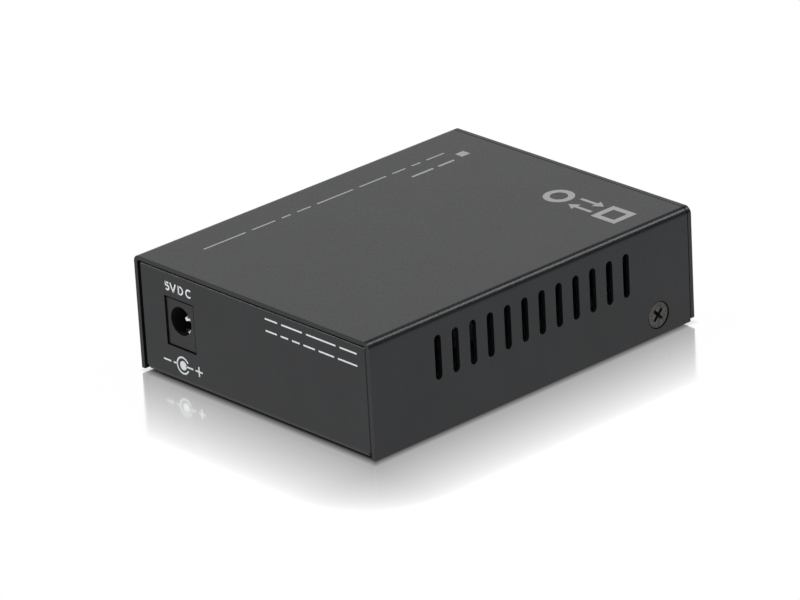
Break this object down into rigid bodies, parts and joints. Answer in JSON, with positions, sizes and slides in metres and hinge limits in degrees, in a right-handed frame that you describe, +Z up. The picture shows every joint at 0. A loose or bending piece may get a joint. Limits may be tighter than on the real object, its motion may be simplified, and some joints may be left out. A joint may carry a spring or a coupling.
{
  "type": "fibre media converter",
  "caption": "Small folded-steel case that joins a copper network port to a plug-in fibre module, with side vents and a barrel power jack.",
  "frame": {"origin": "under the middle of the case, on the surface that its feet stand on", "axes": "+Z up, the ports face -Y and the power jack faces +Y"},
  "size_m": [0.073, 0.0944, 0.027],
  "materials": {
    "black_paint": "satin, finely textured",
    "board_laminate": "gloss",
    "black_plastic": "matte",
    "chip_body": "matte",
    "ferrite": "matte",
    "winding_tape": "matte",
    "nickel_contact": "polished",
    "gold_contact": "polished",
    "tinned_steel": "bright",
    "zinc_steel": "satin",
    "black_screw": "black oxide",
    "black_aluminium": "anodised black",
    "can_aluminium": "bright",
    "lamp_lens": "frosted",
    "rubber_foot": "matte"
  },
  "bodies": {
    "root": {"base_tray": "black_paint", "board_screw_front_left": "zinc_steel", "board_screw_front_right": "zinc_steel", "board_screw_rear_left": "zinc_steel", "board_screw_rear_right": "zinc_steel", "circuit_board": "board_laminate", "clock_crystal": "tinned_steel", "converter_chip": "chip_body", "copper_jack_body": "black_plastic", "copper_jack_shield": "tinned_steel", "copper_jack_wires": "gold_contact", "cover_screw_left": "black_screw", "cover_screw_right": "black_screw", "foot_front_left": "rubber_foot", "foot_front_right": "rubber_foot", "foot_rear_left": "rubber_foot", "foot_rear_right": "rubber_foot", "heat_sink": "black_aluminium", "input_capacitor_base": "black_plastic", "input_capacitor_can": "can_aluminium", "lamp_1": "lamp_lens", "lamp_2": "lamp_lens", "lamp_3": "lamp_lens", "lamp_4": "lamp_lens", "lamp_5": "lamp_lens", "lamp_6": "lamp_lens", "lamp_block": "black_plastic", "lamp_leads": "nickel_contact", "line_transformer": "chip_body", "module_cage": "tinned_steel", "module_cage_collar": "tinned_steel", "module_socket": "black_plastic", "module_socket_contacts": "gold_contact", "output_capacitor_base": "black_plastic", "output_capacitor_can": "can_aluminium", "post_front_left": "zinc_steel", "post_front_right": "zinc_steel", "post_rear_left": "zinc_steel", "post_rear_right": "zinc_steel", "power_inductor": "ferrite", "power_jack_housing": "black_plastic", "power_jack_leaf": "nickel_contact", "power_jack_pin": "nickel_contact", "power_jack_switch_terminal": "nickel_contact", "power_transformer_bobbin": "winding_tape", "power_transformer_core": "ferrite", "small_board_parts": "chip_body", "supply_bridge_1": "chip_body", "supply_bridge_2": "chip_body", "supply_controller": "chip_body", "top_cover": "black_paint"}
  },
  "joints": []
}
